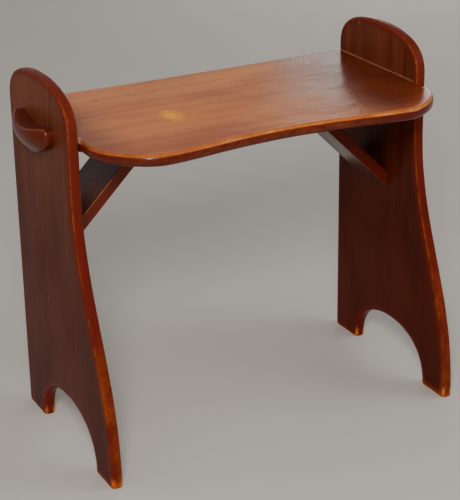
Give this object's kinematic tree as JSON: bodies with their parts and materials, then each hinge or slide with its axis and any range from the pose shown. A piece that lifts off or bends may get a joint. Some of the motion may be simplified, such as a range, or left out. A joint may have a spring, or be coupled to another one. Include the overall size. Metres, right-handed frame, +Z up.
{
  "type": "piano bench",
  "caption": "Low wooden bench with shaped end boards rising past a scalloped seat, diagonal braces beneath and a carved handle on each end.",
  "frame": {"origin": "on the floor, at the centre of the bench's overall length and depth", "axes": "+X along the seat to the right-hand end, +Y from the scalloped front to the back, +Z up"},
  "size_m": [0.666, 0.347, 0.579],
  "materials": {
    "seat_wood": "glossy varnish over a mid red-brown stain, worn",
    "stained_wood": "glossy varnish over a dark red-brown stain",
    "dowel_wood": "bare",
    "screw_steel": "dulled"
  },
  "bodies": {
    "root": {"seat_board": "seat_wood", "end_board_left": "stained_wood", "end_board_right": "stained_wood", "brace_left": "stained_wood", "brace_right": "stained_wood", "handle_left": "stained_wood", "handle_right": "stained_wood", "dowel_left_top_front": "dowel_wood", "dowel_left_top_back": "dowel_wood", "dowel_left_low_front": "dowel_wood", "dowel_left_low_back": "dowel_wood", "dowel_right_top_front": "dowel_wood", "dowel_right_top_back": "dowel_wood", "dowel_right_low_front": "dowel_wood", "dowel_right_low_back": "dowel_wood", "screw_left_front": "screw_steel", "screw_left_back": "screw_steel", "screw_right_front": "screw_steel", "screw_right_back": "screw_steel"}
  },
  "joints": []
}
